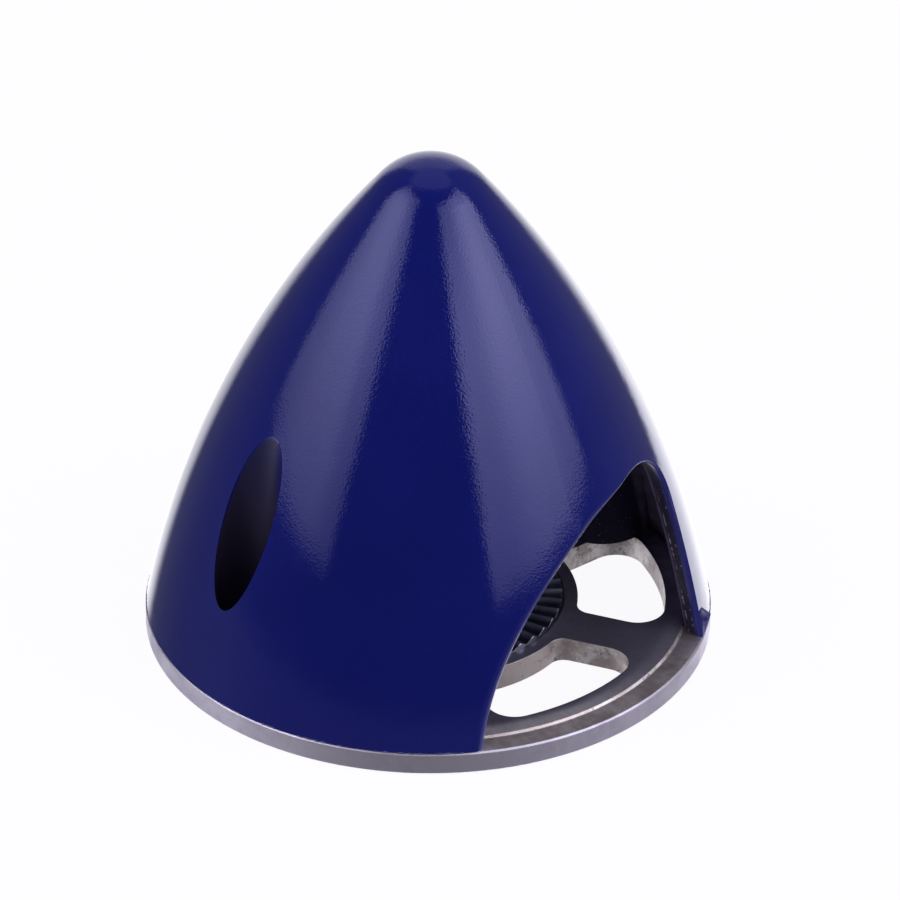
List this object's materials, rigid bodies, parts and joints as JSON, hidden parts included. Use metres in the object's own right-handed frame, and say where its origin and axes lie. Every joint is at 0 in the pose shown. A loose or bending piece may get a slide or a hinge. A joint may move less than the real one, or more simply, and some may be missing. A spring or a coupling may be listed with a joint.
{
  "type": "propeller spinner",
  "caption": "Pointed blue nose cone with swept openings for the propeller blades, screwed to a slotted metal back plate with a serrated drive face.",
  "frame": {"origin": "centre of the back plate's rear face, on the shaft axis", "axes": "+Z along the shaft axis towards the nose; the blades leave along +X and -X; the cone screws stand on +Y and -Y"},
  "size_m": [0.051, 0.051, 0.0473],
  "materials": {
    "blue_plastic": "glossy moulded plastic",
    "turned_aluminium": "satin, turned and milled",
    "screw_steel": "plain steel"
  },
  "bodies": {
    "root": {"nose_cone": "blue_plastic", "back_plate": "turned_aluminium", "cone_screw_1": "screw_steel", "cone_screw_2": "screw_steel"}
  },
  "joints": []
}
